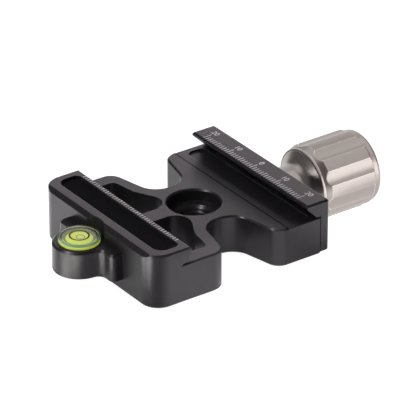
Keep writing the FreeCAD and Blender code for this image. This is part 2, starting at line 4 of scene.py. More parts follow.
import bmesh
import bpy
from mathutils import Matrix, Vector


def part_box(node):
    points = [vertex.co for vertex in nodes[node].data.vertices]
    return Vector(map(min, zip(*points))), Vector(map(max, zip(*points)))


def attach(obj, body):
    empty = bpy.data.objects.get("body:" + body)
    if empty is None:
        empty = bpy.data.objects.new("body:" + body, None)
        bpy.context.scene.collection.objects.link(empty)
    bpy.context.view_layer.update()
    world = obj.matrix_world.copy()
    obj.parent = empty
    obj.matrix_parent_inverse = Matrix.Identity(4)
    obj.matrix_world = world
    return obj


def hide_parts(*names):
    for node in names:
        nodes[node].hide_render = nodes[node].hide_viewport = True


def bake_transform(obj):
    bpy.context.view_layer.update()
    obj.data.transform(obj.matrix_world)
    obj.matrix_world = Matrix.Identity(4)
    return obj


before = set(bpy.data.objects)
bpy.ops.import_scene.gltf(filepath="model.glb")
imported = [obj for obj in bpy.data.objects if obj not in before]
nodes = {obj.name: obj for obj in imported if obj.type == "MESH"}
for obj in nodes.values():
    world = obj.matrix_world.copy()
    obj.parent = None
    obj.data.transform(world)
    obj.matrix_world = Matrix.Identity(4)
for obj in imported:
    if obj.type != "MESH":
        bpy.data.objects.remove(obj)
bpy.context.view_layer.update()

# Sizes and places are in millimetres, and this turns them into metres
MM = 0.001


def node_box(node):
    """Lowest and highest corner of a CAD node, in millimetres."""
    low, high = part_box(node)
    return low / MM, high / MM


# Places read from the frame
BODY_HIGH = node_box("clamp_body")[1]
JAW_LOW, JAW_HIGH = node_box("moving_jaw")
STUD_LOW, STUD_HIGH = node_box("clamp_stud")
KNOB_LOW, KNOB_HIGH = node_box("knob")
CASE_LOW, CASE_HIGH = node_box("level_case")
LIQUID_LOW, LIQUID_HIGH = node_box("level_liquid")
BUBBLE_LOW, BUBBLE_HIGH = node_box("level_bubble")
STRIP_HIGH = node_box("slot_strip")[1]
AXIS_HEIGHT = (STUD_LOW.z + STUD_HIGH.z) / 2
LEVEL_X = (CASE_LOW.x + CASE_HIGH.x) / 2


# Materials

def new_material(name):
    material = bpy.data.materials.new(name)
    material.use_nodes = True
    shader = material.node_tree.nodes["Principled BSDF"]
    return material, material.node_tree, shader


def add_node(tree, kind, **settings):
    node = tree.nodes.new(kind)
    for name, setting in settings.items():
        if name in node.inputs:
            node.inputs[name].default_value = setting
        else:
            setattr(node, name, setting)
    return node


def object_noise(tree, stretch, detail=3.0):
    """Noise in the object's own space; stretch gives how many waves a metre holds along X, Y, Z."""
    place = add_node(tree, "ShaderNodeTexCoord")
    mapping = add_node(tree, "ShaderNodeMapping")
    mapping.inputs["Scale"].default_value = stretch
    noise = add_node(tree, "ShaderNodeTexNoise", Scale=1.0, Detail=detail, Roughness=0.6)
    tree.links.new(place.outputs["Object"], mapping.inputs["Vector"])
    tree.links.new(mapping.outputs["Vector"], noise.inputs["Vector"])
    return noise.outputs["Fac"]


def remap(tree, value, low, high):
    """Spread noise, which keeps near its middle, over the range from low to high."""
    node = add_node(tree, "ShaderNodeMapRange")
    node.inputs["From Min"].default_value = 0.3
    node.inputs["From Max"].default_value = 0.7
    node.inputs["To Min"].default_value = low
    node.inputs["To Max"].default_value = high
    tree.links.new(value, node.inputs["Value"])
    return node.outputs["Result"]


def rounded_normal(tree, radius):
    bevel = add_node(tree, "ShaderNodeBevel", samples=6)
    bevel.inputs["Radius"].default_value = radius * MM
    return bevel.outputs["Normal"]


def bump(tree, height, normal, depth, strength):
    node = add_node(tree, "ShaderNodeBump")
    node.inputs["Strength"].default_value = strength
    node.inputs["Distance"].default_value = depth * MM
    tree.links.new(height, node.inputs["Height"])
    tree.links.new(normal, node.inputs["Normal"])
    return node.outputs["Normal"]


def edge_amount(tree, normal, flat=0.995, edge=0.80):
    """1 on edges, where the rounded normal leaves the face's own normal, and 0 on flat parts.

    flat and edge are the cosines of the angle between the two normals where the amount is 0 and 1.
    """
    geometry = add_node(tree, "ShaderNodeNewGeometry")
    dot = add_node(tree, "ShaderNodeVectorMath", operation="DOT_PRODUCT")
    tree.links.new(geometry.outputs["True Normal"], dot.inputs[0])
    tree.links.new(normal, dot.inputs[1])
    amount = add_node(tree, "ShaderNodeMapRange")
    amount.inputs["From Min"].default_value = flat
    amount.inputs["From Max"].default_value = edge
    tree.links.new(dot.outputs["Value"], amount.inputs["Value"])
    return amount.outputs["Result"]


def mix_colour(tree, amount, first, second):
    mix = add_node(tree, "ShaderNodeMix", data_type="RGBA")
    for socket, colour in (("A", first), ("B", second)):
        target = [item for item in mix.inputs if item.name == socket and item.type == "RGBA"][0]
        if isinstance(colour, tuple):
            target.default_value = colour + (1.0,)
        else:
            tree.links.new(colour, target)
    factor = [item for item in mix.inputs if item.name == "Factor" and item.type == "VALUE"][0]
    tree.links.new(amount, factor)
    return [item for item in mix.outputs if item.type == "RGBA"][0]


def mottle(tree, noise, dark, pale):
    """Colour that drifts from dark to pale with the noise."""
    return mix_colour(tree, remap(tree, noise, 0.0, 1.0), dark, pale)


# Painted shade: a dark, dull line along the edge of the low step in the plate's top
STEP_SHADE_PLACE = 11.15
STEP_SHADE_WIDTH = 0.52
STEP_SHADE_BOTTOM = 9.9


def step_line(tree):
    """Mask of the painted shade line: 1 along the low step in the top of the plate, and 0 elsewhere."""
    place = add_node(tree, "ShaderNodeTexCoord")
    split = add_node(tree, "ShaderNodeSeparateXYZ")
    tree.links.new(place.outputs["Object"], split.inputs["Vector"])
    near = add_node(tree, "ShaderNodeMath", operation="COMPARE")
    near.inputs[1].default_value = STEP_SHADE_PLACE * MM
    near.inputs[2].default_value = STEP_SHADE_WIDTH / 2 * MM
    tree.links.new(split.outputs["X"], near.inputs[0])
    above = add_node(tree, "ShaderNodeMath", operation="GREATER_THAN")
    above.inputs[1].default_value = STEP_SHADE_BOTTOM * MM
    tree.links.new(split.outputs["Z"], above.inputs[0])
    both = add_node(tree, "ShaderNodeMath", operation="MULTIPLY")
    tree.links.new(near.outputs["Value"], both.inputs[0])
    tree.links.new(above.outputs["Value"], both.inputs[1])
    return both.outputs["Value"]


def black_anodised():
    """Satin black anodised aluminium with fine blasted grain; its edges are painted a little paler as a
    highlight, and a dark line of shade is painted along the plate's low step.
    """
    material, tree, shader = new_material("black_anodised")
    rounded = rounded_normal(tree, 0.13)
    grain = object_noise(tree, (9000, 9000, 9000), 2.0)
    cloud = object_noise(tree, (260, 260, 260), 4.0)
    tone = mottle(tree, cloud, (0.0078, 0.0070, 0.0078), (0.0108, 0.0098, 0.0108))
    # Painted highlight: edges a little paler than the faces
    painted_edge_highlight = mix_colour(tree, edge_amount(tree, rounded), tone, (0.017, 0.016, 0.016))
    # Painted shade: a near-black line with almost no shine along the plate's low step
    line = step_line(tree)
    step_shaded = mix_colour(tree, line, painted_edge_highlight, (0.003, 0.003, 0.003))
    tree.links.new(step_shaded, shader.inputs["Base Color"])
    shine = add_node(tree, "ShaderNodeMapRange")
    shine.inputs["To Min"].default_value = 0.22
    shine.inputs["To Max"].default_value = 0.02
    tree.links.new(line, shine.inputs["Value"])
    tree.links.new(shine.outputs["Result"], shader.inputs["Specular IOR Level"])
    tree.links.new(remap(tree, grain, 0.27, 0.34), shader.inputs["Roughness"])
    tree.links.new(bump(tree, grain, rounded, 0.004, 0.4), shader.inputs["Normal"])
    shader.inputs["IOR"].default_value = 1.5
    shader.inputs["Specular Tint"].default_value = (0.99, 0.91, 1.0, 1.0)
    return material


def champagne_anodised():
    """Warm grey anodised aluminium with fine rings left by turning, and edges painted pale as a highlight."""
    material, tree, shader = new_material("champagne_anodised")
    rounded = rounded_normal(tree, 0.17)
    rings = object_noise(tree, (6400, 14, 14))
    cloud = object_noise(tree, (300, 300, 300))
    tone = mottle(tree, cloud, (0.362, 0.314, 0.298), (0.395, 0.344, 0.326))
    streaked = mottle(tree, rings, tone, (0.42, 0.378, 0.355))
    # Painted highlight: pale edges on the flutes and rims
    painted_edge_highlight = mix_colour(tree, edge_amount(tree, rounded, flat=0.997, edge=0.975), streaked, (0.98, 0.89, 0.82))
    tree.links.new(painted_edge_highlight, shader.inputs["Base Color"])
    tree.links.new(remap(tree, rings, 0.27, 0.36), shader.inputs["Roughness"])
    tree.links.new(bump(tree, rings, rounded, 0.003, 0.25), shader.inputs["Normal"])
    tangent = add_node(tree, "ShaderNodeTangent", direction_type="RADIAL", axis="X")
    tree.links.new(tangent.outputs["Tangent"], shader.inputs["Tangent"])
    shader.inputs["Metallic"].default_value = 1.0
    shader.inputs["Anisotropic"].default_value = 0.4
    return material


def steel(name, colour, rough, stretch=(4000, 200, 200)):
    """Bare steel with turning marks along X."""
    material, tree, shader = new_material(name)
    rings = object_noise(tree, stretch)
    tone = mottle(tree, rings, colour, tuple(1.25 * part for part in colour))
    tree.links.new(tone, shader.inputs["Base Color"])
    tree.links.new(remap(tree, rings, rough, rough + 0.12), shader.inputs["Roughness"])
    tree.links.new(bump(tree, rings, rounded_normal(tree, 0.08), 0.004, 0.4), shader.inputs["Normal"])
    shader.inputs["Metallic"].default_value = 1.0
    return material


def matt(name, dark, pale, rough, grain_depth=0.02, gloss=0.25):
    """Rubber, plastic and paint: matt, with a fine grain."""
    material, tree, shader = new_material(name)
    speckle = object_noise(tree, (2500, 2500, 2500), 4.0)
    tone = mottle(tree, speckle, dark, pale)
    tree.links.new(tone, shader.inputs["Base Color"])
    tree.links.new(remap(tree, speckle, rough, rough + 0.1), shader.inputs["Roughness"])
    tree.links.new(bump(tree, speckle, rounded_normal(tree, 0.1), grain_depth, 0.5), shader.inputs["Normal"])
    shader.inputs["Specular IOR Level"].default_value = gloss
    return material


def scale_print():
    """Laser marked lines and numbers: pale and a little uneven."""
    material, tree, shader = new_material("scale_print")
    speckle = object_noise(tree, (5200, 5200, 5200))
    tone = mottle(tree, speckle, (0.46, 0.45, 0.44), (0.62, 0.61, 0.60))
    tree.links.new(tone, shader.inputs["Base Color"])
    shader.inputs["Roughness"].default_value = 0.7
    shader.inputs["Specular IOR Level"].default_value = 0.2
    return material


def clear_acrylic():
    material, tree, shader = new_material("clear_case")
    swirl = object_noise(tree, (350, 350, 350), 2.0)
    tree.links.new(remap(tree, swirl, 0.02, 0.06), shader.inputs["Roughness"])
    shader.inputs["Base Color"].default_value = (0.90, 0.88, 0.78, 1.0)
    shader.inputs["Transmission Weight"].default_value = 0.93
    shader.inputs["IOR"].default_value = 1.49
    return material


def glowing(name, stretch, dark, pale, glow, rough, gloss):
    """The level's liquid and what is seen through it, with painted light: they glow by their own emission,
    though they are no lamps.
    """
    material, tree, shader = new_material(name)
    drift = object_noise(tree, stretch, 2.0)
    tone = mottle(tree, drift, dark, pale)
    tree.links.new(tone, shader.inputs["Base Color"])
    tree.links.new(tone, shader.inputs["Emission Color"])
    shader.inputs["Emission Strength"].default_value = glow
    shader.inputs["Roughness"].default_value = rough
    shader.inputs["Specular IOR Level"].default_value = gloss
    return material


BLACK = black_anodised()
CHAMPAGNE = champagne_anodised()
STEEL = steel("steel", (0.42, 0.42, 0.43), 0.26)
SPRING_STEEL = steel("spring_steel", (0.30, 0.30, 0.31), 0.3, (900, 900, 900))
RUBBER = matt("strip_rubber", (0.0060, 0.0056, 0.0064), (0.0092, 0.0086, 0.0096), 0.8, gloss=0.0)
NYLON = matt("washer_plastic", (0.05, 0.05, 0.05), (0.09, 0.09, 0.09), 0.5)
PLUG = matt("level_plug", (0.72, 0.78, 0.60), (0.82, 0.86, 0.72), 0.45)
PRINT = scale_print()
RING_INK = matt("ring_ink", (0.004, 0.005, 0.004), (0.012, 0.014, 0.012), 0.4, grain_depth=0.002)
CLEAR = clear_acrylic()
# Painted light: the fluid, the green edge colour and the bubble's air glow by their own emission
FLUID = glowing("level_fluid", (220, 220, 220), (0.66, 0.74, 0.07), (0.74, 0.82, 0.10),
                glow=0.5, rough=0.3, gloss=0.1)
# Painted refraction: green for the liquid seen bent through the case's edge
EDGE_REFRACTION_GREEN = glowing("level_edge_painted_refraction", (500, 500, 120), (0.08, 0.38, 0.14), (0.12, 0.46, 0.18),
                    glow=0.25, rough=0.3, gloss=0.1)
# Painted shade: dark ring just inside the bubble's edge
BUBBLE_SHADE_RING = matt("level_bubble_shade_ring", (0.10, 0.20, 0.13), (0.14, 0.26, 0.17), 0.4, grain_depth=0.002)
BOWL = matt("level_bowl", (0.34, 0.32, 0.25), (0.42, 0.40, 0.31), 0.5, grain_depth=0.002)
# Painted refraction: pale yellow seen inside the case's edge
RIM_REFRACTION_YELLOW = matt("level_rim_painted_refraction", (0.62, 0.60, 0.34), (0.72, 0.70, 0.42), 0.5, grain_depth=0.002)
AIR = glowing("level_air", (900, 900, 900), (0.70, 0.76, 0.12), (0.80, 0.84, 0.22),
              glow=0.4, rough=0.08, gloss=0.5)


# Mesh helpers

def face_outwards(mesh):
    """Turn the faces of a mesh so that they all look outwards."""
    shape = bmesh.new()
    shape.from_mesh(mesh)
    bmesh.ops.recalc_face_normals(shape, faces=shape.faces)
    shape.to_mesh(mesh)
    shape.free()


def add_piece(name, points, faces, material, body, sharp=30.0):
    """Make a mesh from points in millimetres, smooth apart from edges sharper than the given angle."""
    mesh = bpy.data.meshes.new(name)
    mesh.from_pydata([Vector(point) * MM for point in points], [], faces)
    mesh.validate()
    face_outwards(mesh)
    mesh.shade_smooth()
    mesh.set_sharp_from_angle(angle=math.radians(sharp))
    mesh.materials.append(material)
    piece = bpy.data.objects.new(name, mesh)
    bpy.context.scene.collection.objects.link(piece)
    if body is not None:
        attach(piece, body)
    return piece


def grid_faces(rows, columns, wrap_rows=False, wrap_columns=False):
    """Quads of a grid of points kept row by row."""
    faces = []
    for row in range(rows if wrap_rows else rows - 1):
        following = (row + 1) % rows
        for column in range(columns if wrap_columns else columns - 1):
            beside = (column + 1) % columns
            faces.append((row * columns + column, row * columns + beside,
                          following * columns + beside, following * columns + column))
    return faces


def arc_points(centre, radius, start, end, steps):
    """Points on an arc in the profile's plane, with the angles in degrees."""
    points = []
    for step in range(steps + 1):
        angle = math.radians(start + (end - start) * step / steps)
        points.append((centre[0] + radius * math.cos(angle), centre[1] + radius * math.sin(angle)))
    return points


def steps_from(place, steps):
    """Points of a profile, given as steps from one place."""
    return [(place[0] + first, place[1] + second) for first, second in steps]


def lathe_z(profile, centre_x, centre_y, steps=96):
    """Turn a profile of radius and height, open between its ends, round an upright axis."""
    points = []
    for radius, height in profile:
        for step in range(steps):
            angle = 2 * math.pi * step / steps
            points.append((centre_x + radius * math.cos(angle), centre_y + radius * math.sin(angle), height))
    return points, grid_faces(len(profile), steps, wrap_columns=True)


def tube_along(path, radius):
    """Round tube along a list of points, closed at both ends."""
    sides = 8
    points = []
    for index, place in enumerate(path):
        ahead = path[min(index + 1, len(path) - 1)]
        behind = path[max(index - 1, 0)]
        along = (ahead - behind).normalized()
        across = along.cross(Vector((1, 0, 0))).normalized()
        other = along.cross(across)
        for side in range(sides):
            angle = 2 * math.pi * side / sides
            points.append(place + across * (radius * math.cos(angle)) + other * (radius * math.sin(angle)))
    faces = grid_faces(len(path), sides, wrap_columns=True)
    faces.append(tuple(range(sides)))
    faces.append(tuple(range(len(points) - sides, len(points)))[::-1])
    return points, faces


# Scales on both jaws

SCALE_ZERO = 0.47
SCALE_REACH = 20
LINE_WIDTH = 0.22
LINE_RISE = 0.012
# Where the lines start: past the moving jaw's inner edge, and past the strip on the fixed jaw
JAW_LINES_START = 0.42
FIXED_LINES_START = 1.32
# Lengths of the short, the five and the ten lines
JAW_LINE_LENGTHS = (1.65, 1.95, 2.55)
FIXED_LINE_LENGTHS = (1.0, 1.0, 1.0)
NUMBER_HEIGHT = 1.65
NUMBER_PLACE = 21.35


def open_box(low, high):
    """Corners and faces of a box without its underside."""
    corners = [(x, y, z) for z in (low[2], high[2]) for x, y in
               ((low[0], low[1]), (high[0], low[1]), (high[0], high[1]), (low[0], high[1]))]
    return corners, [(4, 5, 6, 7), (0, 1, 5, 4), (1, 2, 6, 5), (2, 3, 7, 6), (3, 0, 4, 7)]


def scale_lines(name, start, direction, height, body, lengths):
    """41 lines, one a millimetre; lengths holds that of the short, the five and the ten lines."""
    short, five, ten = lengths
    points = []
    faces = []
    for mark in range(-SCALE_REACH, SCALE_REACH + 1):
        length = ten if mark % 10 == 0 else five if mark % 5 == 0 else short
        near, far = sorted((start, start + direction * length))
        middle = SCALE_ZERO + mark
        corners, sides = open_box((near, middle - LINE_WIDTH / 2, height - LINE_RISE),
                                  (far, middle + LINE_WIDTH / 2, height + LINE_RISE))
        faces += [tuple(index + len(points) for index in side) for side in sides]
        points += corners
    add_piece(name, points, faces, PRINT, body)


def scale_number(name, text, place_y, height, body):
    """A number that reads along -Y, with its top towards +X."""
    curve = bpy.data.curves.new(name + "_outline", "FONT")
    curve.body = text
    curve.align_x = "CENTER"
    curve.align_y = "CENTER"
    curve.extrude = 0.5
    curve.resolution_u = 4
    outline = bpy.data.objects.new(name + "_outline", curve)
    bpy.context.scene.collection.objects.link(outline)
    bpy.context.view_layer.update()
    mesh = bpy.data.meshes.new_from_object(outline.evaluated_get(bpy.context.evaluated_depsgraph_get()))
    bpy.data.objects.remove(outline)
    ups = [vertex.co.y for vertex in mesh.vertices]
    middle = (min(ups) + max(ups)) / 2
    size = NUMBER_HEIGHT / (max(ups) - min(ups))
    for vertex in mesh.vertices:
        across = vertex.co.x * size
        up = (vertex.co.y - middle) * size
        rise = LINE_RISE if vertex.co.z > 0 else -LINE_RISE
        vertex.co = Vector((NUMBER_PLACE + up, place_y - across, height + rise)) * MM
    mesh.materials.clear()
    mesh.materials.append(PRINT)
    piece = bpy.data.objects.new(name, mesh)
    bpy.context.scene.collection.objects.link(piece)
    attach(piece, body)


def add_scales():
    jaw_start = JAW_LOW.x + JAW_LINES_START
    fixed_start = STRIP_HIGH.x + FIXED_LINES_START
    scale_lines("moving_jaw_scale", jaw_start, 1, JAW_HIGH.z, "jaw", JAW_LINE_LENGTHS)
    scale_lines("fixed_jaw_scale", fixed_start, -1, BODY_HIGH.z, "base", FIXED_LINE_LENGTHS)
    for mark in range(-SCALE_REACH, SCALE_REACH + 1, 10):
        side = "near" if mark < 0 else "far" if mark > 0 else "middle"
        name = "scale_number_%s_%d" % (side, abs(mark))
        scale_number(name, str(abs(mark)), SCALE_ZERO + mark, JAW_HIGH.z, "jaw")


# Threads

SCREW_PITCH = 1.0
SCREW_THREAD_DEPTH = 0.5
# 3/8 inch thread with 16 turns an inch; in a hole the root is the wider radius
TRIPOD_PITCH = 25.4 / 16
TRIPOD_ROOT = 3.99
TRIPOD_CREST = 3.45
TRIPOD_THREAD_LOW = 0.25
TRIPOD_THREAD_HIGH = 6.3


def thread_surface(name, start, end, root, crest, pitch, point_of, material):
    """Helical thread as a fine grid; it fades out over the first and the last half turn."""
    columns = 48
    rows_per_turn = 10
    rows = int((end - start) / pitch * rows_per_turn)
    fade_length = pitch / 2
    # A triangle wave that reaches past 0 and 1 and is cut there, for narrow flats at root and crest
    wave_height = 1.35
    wave_sink = 0.12
    points = []
    for row in range(rows + 1):
        place = start + (end - start) * row / rows
        fade = max(0.0, min(1.0, (place - start) / fade_length, (end - place) / fade_length))
        for column in range(columns):
            angle = 2 * math.pi * column / columns
            phase = (place / pitch - column / columns) % 1.0
            wave = wave_height * (1 - abs(2 * phase - 1)) - wave_sink
            radius = root + (crest - root) * min(1.0, max(0.0, wave)) * fade
            points.append(point_of(place, radius, angle))
    faces = grid_faces(rows + 1, columns, wrap_columns=True)
    return add_piece(name, points, faces, material, "base", sharp=60)


def around_screw(place, radius, angle):
    return (place, radius * math.cos(angle), AXIS_HEIGHT + radius * math.sin(angle))


def around_tripod_hole(place, radius, angle):
    return (radius * math.cos(angle), radius * math.sin(angle), place)


def close_ends(piece):
    """Fill the two open rings at the ends of a thread."""
    shape = bmesh.new()
    shape.from_mesh(piece.data)
    open_edges = [edge for edge in shape.edges if edge.is_boundary]
    bmesh.ops.holes_fill(shape, edges=open_edges, sides=0)
    shape.to_mesh(piece.data)
    shape.free()


def add_threads():
    crest = (STUD_HIGH.z - STUD_LOW.z) / 2
    stud = thread_surface("stud_thread", STUD_LOW.x, STUD_HIGH.x, crest - SCREW_THREAD_DEPTH, crest,
                          SCREW_PITCH, around_screw, STEEL)
    close_ends(stud)
    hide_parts("clamp_stud")
    thread_surface("tripod_hole_thread", TRIPOD_THREAD_LOW, TRIPOD_THREAD_HIGH, TRIPOD_ROOT, TRIPOD_CREST,
                   TRIPOD_PITCH, around_tripod_hole, BLACK)


# Return springs

WIRE_RADIUS = 0.25
SPRING_TURNS = 5.0
# The turns at each end that lie close, and their pitch
CLOSED_TURNS = 0.8
CLOSED_PITCH = 0.45


def add_spring(name, node):
    """Round wire coil in place of the CAD spring; it stretches between the body and the jaw."""
    low, high = node_box(node)
    middle_y = (low.y + high.y) / 2
    coil = (high.y - low.y) / 2 - WIRE_RADIUS
    open_turns = SPRING_TURNS - 2 * CLOSED_TURNS
    open_length = high.x - low.x - 2 * WIRE_RADIUS - 2 * CLOSED_TURNS * CLOSED_PITCH
    steps = 220
    path = []
    for step in range(steps + 1):
        turns = SPRING_TURNS * step / steps
        opened = min(1.0, max(0.0, (turns - CLOSED_TURNS) / open_turns))
        closed = min(turns, CLOSED_TURNS) + max(0.0, turns - SPRING_TURNS + CLOSED_TURNS)
        place = low.x + WIRE_RADIUS + CLOSED_PITCH * closed + open_length * opened
        angle = 2 * math.pi * turns
        path.append(Vector((place, middle_y + coil * math.cos(angle), AXIS_HEIGHT + coil * math.sin(angle))))
    points, faces = tube_along(path, WIRE_RADIUS)
    piece = add_piece(name, points, faces, SPRING_STEEL, None)
    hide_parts(node)
    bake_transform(piece)


# Knob: places are counted along the axis from its front

BORE_RADIUS = 3.06
NECK_RADIUS = 6.0
NECK_EDGE = 0.35
NECK_GRID_START = 1.8
BELL_START = 5.3
BELL_ARC = 3.4
BELL_TURN = 50.4
BELL_END = 9.3
BELL_MOUTH_RADIUS = 8.9
SMALL_EDGE = 0.12
RIM_RADIUS = 9.45
RIM_ROUNDING = 0.2
RIM_WIDTH = 0.7
RIM_CREASE = 0.03
FRONT_CHAMFER = 1.65
BARREL_RADIUS = 10.15
BARREL_LENGTH = 13.45
REAR_CHAMFER = 0.5
REAR_RADIUS = 9.68
REAR_FLAT = 0.55
REAR_ROUNDING = 1.0
DISH_RADIUS = 7.5
DISH_DEPTH = 0.6
# The dish's wall, from its edge inwards, as steps along the axis and in radius
DISH_WALL = [(0.0, 0.0), (-0.25, -0.2), (-DISH_DEPTH, -0.5)]
STOP_BORE_RADIUS = 4.2
STOP_BORE_EDGE = 0.15
STOP_BORE_FLOOR = 12.0
FLUTES = 9
FLUTE_DEPTH = 0.43
FLUTE_CUTTER = 7.5
FLUTE_CENTRE = BARREL_RADIUS - FLUTE_DEPTH + FLUTE_CUTTER
FLUTE_TURN = math.radians(-7.5)
FLUTE_START = 9.9
# The bores and the dish lie inside this radius and have no flutes
FLUTES_REACH_IN = 9.0


def straight(start, end, steps):
    """Points in equal steps from start to end, without start itself."""
    return [(start[0] + (end[0] - start[0]) * step / steps, start[1] + (end[1] - start[1]) * step / steps)
            for step in range(1, steps + 1)]


def knob_profile():
    """Place along the axis and radius, from the bore at the neck round to the bore at the rear."""
    front = KNOB_LOW.x
    rear = KNOB_HIGH.x
    grid_start = front + NECK_GRID_START
    bell = front + BELL_START
    bell_end = front + BELL_END
    rim_end = bell_end + RIM_WIDTH
    barrel = rim_end + FRONT_CHAMFER
    barrel_end = barrel + BARREL_LENGTH
    rear_rim = barrel_end + REAR_CHAMFER
    dish = rear - DISH_DEPTH
    bore_floor = front + STOP_BORE_FLOOR
    profile = [(front, BORE_RADIUS), (front, NECK_RADIUS - NECK_EDGE), (front + NECK_EDGE, NECK_RADIUS)]
    neck_steps = 4
    profile += [(grid_start + (bell - grid_start) * step / neck_steps, NECK_RADIUS)
                for step in range(neck_steps)]
    profile += arc_points((bell, NECK_RADIUS + BELL_ARC), BELL_ARC, -90, -90 + BELL_TURN, steps=9)
    profile += [(bell_end - SMALL_EDGE, BELL_MOUTH_RADIUS - SMALL_EDGE), (bell_end, BELL_MOUTH_RADIUS),
                (bell_end, RIM_RADIUS - RIM_ROUNDING)]
    rim_centre = (bell_end + RIM_ROUNDING, RIM_RADIUS - RIM_ROUNDING)
    profile += arc_points(rim_centre, RIM_ROUNDING, 180, 90, steps=6)
    profile += [(rim_end - SMALL_EDGE, RIM_RADIUS), (rim_end, RIM_RADIUS - RIM_CREASE)]
    profile += straight((rim_end, RIM_RADIUS), (barrel, BARREL_RADIUS), steps=12)
    profile += straight((barrel, BARREL_RADIUS), (barrel_end, BARREL_RADIUS), steps=14)
    profile += straight((barrel_end, BARREL_RADIUS), (rear_rim, REAR_RADIUS), steps=5)
    profile += [(rear_rim + REAR_FLAT, REAR_RADIUS)]
    rear_centre = (rear - REAR_ROUNDING, REAR_RADIUS - REAR_ROUNDING)
    profile += arc_points(rear_centre, REAR_ROUNDING, 90, 0, steps=8)
    profile += steps_from((rear, DISH_RADIUS), DISH_WALL)
    profile += [(dish, STOP_BORE_RADIUS + STOP_BORE_EDGE), (dish - STOP_BORE_EDGE, STOP_BORE_RADIUS),
                (bore_floor, STOP_BORE_RADIUS), (bore_floor, BORE_RADIUS)]
    return profile


def flute_radius(angle):
    """Distance from the axis to a flute's wall in that direction, endless between the flutes."""
    turn = 2 * math.pi / FLUTES
    offset = (angle - FLUTE_TURN + turn / 2) % turn - turn / 2
    inside = FLUTE_CUTTER ** 2 - (FLUTE_CENTRE * math.sin(offset)) ** 2
    if inside <= 0:
        return math.inf
    return FLUTE_CENTRE * math.cos(offset) - math.sqrt(inside)


def flute_half_angle():
    """Half the angle that a flute spans on the barrel."""
    squares = FLUTE_CENTRE ** 2 + BARREL_RADIUS ** 2 - FLUTE_CUTTER ** 2
    return math.acos(squares / (2 * FLUTE_CENTRE * BARREL_RADIUS))


def add_knob():
    half = flute_half_angle()
    turn = 2 * math.pi / FLUTES
    inside_steps = 12
    land_steps = 10
    angles = []
    for flute in range(FLUTES):
        middle = FLUTE_TURN + flute * turn
        angles += [middle - half + 2 * half * step / inside_steps for step in range(inside_steps)]
        angles += [middle + half + (turn - 2 * half) * step / land_steps for step in range(land_steps)]
    profile = knob_profile()
    points = []
    for place, radius in profile:
        fluted = place > KNOB_LOW.x + FLUTE_START and radius > FLUTES_REACH_IN
        for angle in angles:
            wall = min(radius, flute_radius(angle)) if fluted else radius
            points.append(around_screw(place, wall, angle))
    faces = grid_faces(len(profile), len(angles), wrap_rows=True, wrap_columns=True)
    knob = add_piece("fluted_knob", points, faces, CHAMPAGNE, "knob", sharp=18)
    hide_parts("knob")
    return knob


# Bubble level

# Least radius of a turned section, so that no point falls on the axis
NEAR_AXIS = 0.001
CASE_EDGE = 0.07
LIQUID_CLEARANCE = 0.03
BOWL_RIM_DEPTH = 0.36
BOWL_RIM_WIDTH = 0.12
LEVEL_FLOOR_DEPTH = 1.95
LEVEL_FLOOR_RADIUS = 3.62
# The bowl's wall and the ring at its foot, as steps outwards and upwards from the rim and the floor's edge
BOWL_WALL_TOP = [(0.0, 0.02), (-0.18, 0.02)]
BOWL_WALL_FOOT = [(-0.03, 0.1), (0.05, 0.1)]
FLOOR_EDGE = [(0.02, 0.3), (0.2, 0.3), (-0.04, 0.01), (-0.2, 0.01)]
SLEEVE_SKIN = 0.015
SLEEVE_GAP = 0.01
LOWER_SLEEVE_TOP = 0.75
# The painted refraction at the case's edge: how far in it lies, and its ends below the case's top
RIM_REFRACTION_IN = 0.37
RIM_REFRACTION_HIGH = 0.1
RIM_REFRACTION_LOW = 0.62
RIM_REFRACTION_GAP = 0.03
BUBBLE_THICKNESS = 0.6
# The bubble's painted dark edge of shade: its share of the bubble's radius, its depth and the radius of its
# tube
BUBBLE_EDGE_SHARE = 0.96
BUBBLE_EDGE_DEPTH = 0.2
BUBBLE_EDGE_TUBE = 0.12
RING_RADIUS = 2.39
RING_WIDTH = 0.46
RING_SINK = 0.01
RING_RISE = 0.012


def add_turned_level_piece(name, profile, material, sharp=40.0):
    points, faces = lathe_z(profile, LEVEL_X, 0.0)
    return add_piece(name, points, faces, material, "base", sharp)


def add_level_sleeve(name, radius, low, high, material):
    """Thin coloured tube inside the case."""
    profile = [(radius, low), (radius + SLEEVE_SKIN, low), (radius + SLEEVE_SKIN, high), (radius, high)]
    add_turned_level_piece(name, profile, material)


def add_level_case():
    """Clear case, filled: the liquid bends light as the case does, so no wall shows between them."""
    outer = (CASE_HIGH.x - CASE_LOW.x) / 2
    top = CASE_HIGH.z
    profile = [(NEAR_AXIS, top), (outer - CASE_EDGE, top)]
    profile += arc_points((outer - CASE_EDGE, top - CASE_EDGE), CASE_EDGE, 90, 0, steps=4)
    profile += [(outer, CASE_LOW.z), (NEAR_AXIS, CASE_LOW.z)]
    case = add_turned_level_piece("level_window", profile, CLEAR)
    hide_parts("level_case")


